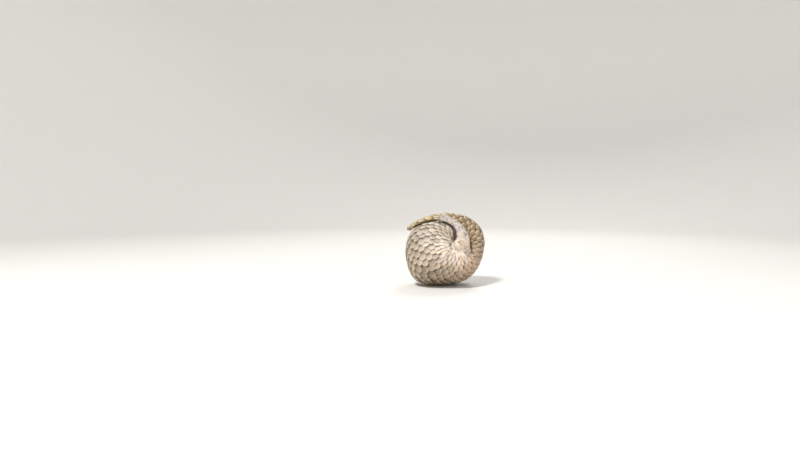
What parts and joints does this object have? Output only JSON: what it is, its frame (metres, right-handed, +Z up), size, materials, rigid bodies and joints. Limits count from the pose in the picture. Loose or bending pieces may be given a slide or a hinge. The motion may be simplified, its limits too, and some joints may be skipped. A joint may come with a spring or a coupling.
{
  "type": "pangolin, rolled into a ball",
  "caption": "Still, life-size pangolin rolled up into a scaly ball, its tail wrapped over it, resting on the floor.",
  "frame": {"origin": "middle of the base of the bounding box, on the floor that the ball rests on", "axes": "+Z up, -Y towards the viewer of the right flank, +X to that viewer's right"},
  "size_m": [0.18, 0.1516, 0.1633],
  "materials": {
    "scales": "dull horn, finely grooved, brown at the root and paler at the rim",
    "small_scales": "dull horn, grey, in small overlapping plates",
    "skin": "soft bare skin, finely wrinkled, pale and pinkish",
    "claw": "smooth horn, paler at the tip",
    "eye": "wet, black"
  },
  "bodies": {
    "root": {"trunk_shoulders": "scales", "trunk_middle": "scales", "trunk_rump": "scales", "tail_base": "scales", "tail_middle": "scales", "tail_upper": "scales", "tail_end": "scales", "head": "small_scales", "neck": "small_scales", "hind_leg_right": "small_scales", "hind_leg_left": "small_scales", "foreleg_right": "small_scales", "foreleg_left": "small_scales", "hind_foot_right": "small_scales", "hind_foot_left": "small_scales", "forefoot_right": "small_scales", "forefoot_left": "small_scales", "ear_left": "skin", "ear_right": "skin", "hind_claw_right_1": "claw", "hind_claw_right_2": "claw", "hind_claw_right_3": "claw", "hind_claw_right_4": "claw", "hind_claw_right_5": "claw", "hind_claw_left_1": "claw", "hind_claw_left_2": "claw", "hind_claw_left_3": "claw", "hind_claw_left_4": "claw", "hind_claw_left_5": "claw", "fore_claw_right_1": "claw", "fore_claw_right_2": "claw", "fore_claw_right_3": "claw", "fore_claw_right_4": "claw", "fore_claw_right_5": "claw", "fore_claw_left_1": "claw", "fore_claw_left_2": "claw", "fore_claw_left_3": "claw", "fore_claw_left_4": "claw", "fore_claw_left_5": "claw", "eye_left": "eye", "eye_right": "eye"}
  },
  "joints": []
}
